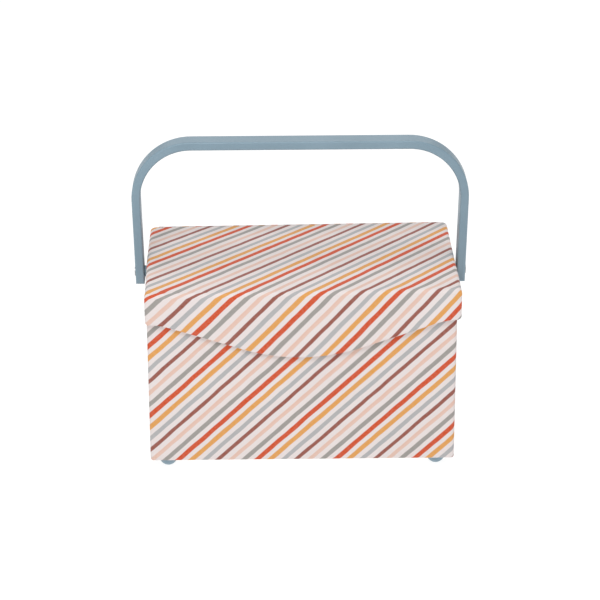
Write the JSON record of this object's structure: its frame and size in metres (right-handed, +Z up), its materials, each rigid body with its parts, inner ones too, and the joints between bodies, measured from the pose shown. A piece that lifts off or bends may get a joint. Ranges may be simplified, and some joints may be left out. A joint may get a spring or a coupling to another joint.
{
  "type": "sewing box",
  "caption": "Cloth-covered sewing box: padded hinged lid with a curved front flap, swinging bail handle, dome feet and a lift-out tray.",
  "frame": {"origin": "on the floor, below the middle of the overall box of the whole object", "axes": "+Z up, -Y to the front where the flap hangs, +X to the right seen from the front"},
  "size_m": [0.2818, 0.162, 0.2663],
  "materials": {
    "striped_cotton": "printed woven cotton with diagonal stripes",
    "lining_cotton": "plain woven cotton",
    "greyboard": "dense grey board",
    "wadding": "thin polyester wadding",
    "cushion_cloth": "stuffed cotton",
    "elastic": "covered elastic",
    "handle_plastic": "satin moulded plastic",
    "tray_plastic": "translucent moulded plastic",
    "stud_steel": "plated steel",
    "magnet_steel": "plated magnet and steel plate"
  },
  "bodies": {
    "box": {"base_board": "greyboard", "front_board": "greyboard", "back_board": "greyboard", "left_board": "greyboard", "right_board": "greyboard", "body_cover": "striped_cotton", "base_cover": "lining_cotton", "body_lining": "lining_cotton", "floor_pad": "lining_cotton", "tray_ledge_left": "lining_cotton", "tray_ledge_right": "lining_cotton", "catch_plate": "magnet_steel", "pivot_washer_left": "stud_steel", "pivot_washer_right": "stud_steel", "foot_front_left": "handle_plastic", "foot_front_right": "handle_plastic", "foot_back_left": "handle_plastic", "foot_back_right": "handle_plastic"},
    "lid": {"lid_board": "greyboard", "lid_wadding": "wadding", "lid_cover": "striped_cotton", "lid_lining": "lining_cotton", "rear_hinge_cloth": "striped_cotton", "front_fold_cloth": "striped_cotton", "pincushion": "cushion_cloth", "lid_pocket": "lining_cotton", "pocket_elastic": "elastic"},
    "flap": {"flap_board": "greyboard", "flap_cover": "striped_cotton", "flap_lining": "lining_cotton", "flap_magnet": "magnet_steel"},
    "pivots": {"pivot_stud_left": "stud_steel", "pivot_stud_right": "stud_steel", "pivot_bush_left": "handle_plastic", "pivot_bush_right": "handle_plastic"},
    "handle": {"handle": "handle_plastic"},
    "tray": {"tray": "tray_plastic"}
  },
  "joints": [
    {"name": "lid_open", "type": "hinge", "parent": "box", "child": "lid", "pos_m": [0, 0.07725, 0.15855], "axis": [-1, 0, 0], "range_deg": [0, 100]},
    {"name": "flap_lift", "type": "hinge", "parent": "lid", "child": "flap", "pos_m": [0, -0.07725, 0.15855], "axis": [-1, 0, 0], "range_deg": [0, 90]},
    {"name": "handle_push", "type": "hinge", "parent": "box", "child": "pivots", "pos_m": [0, 0.0023, 0.1493], "axis": [-1, 0, 0], "range_deg": [0, 78]},
    {"name": "handle_swing", "type": "hinge", "parent": "pivots", "child": "handle", "pos_m": [0, 0.0023, 0.1493], "axis": [-1, 0, 0], "range_deg": [-100, 36]},
    {"name": "tray_lift", "type": "slide", "parent": "box", "child": "tray", "axis": [0, 0, 1], "range_m": [0, 0.015]}
  ],
  "couplings": [
    {"joint": "handle_push", "follows": "lid_open", "ratio": 0.78}
  ]
}
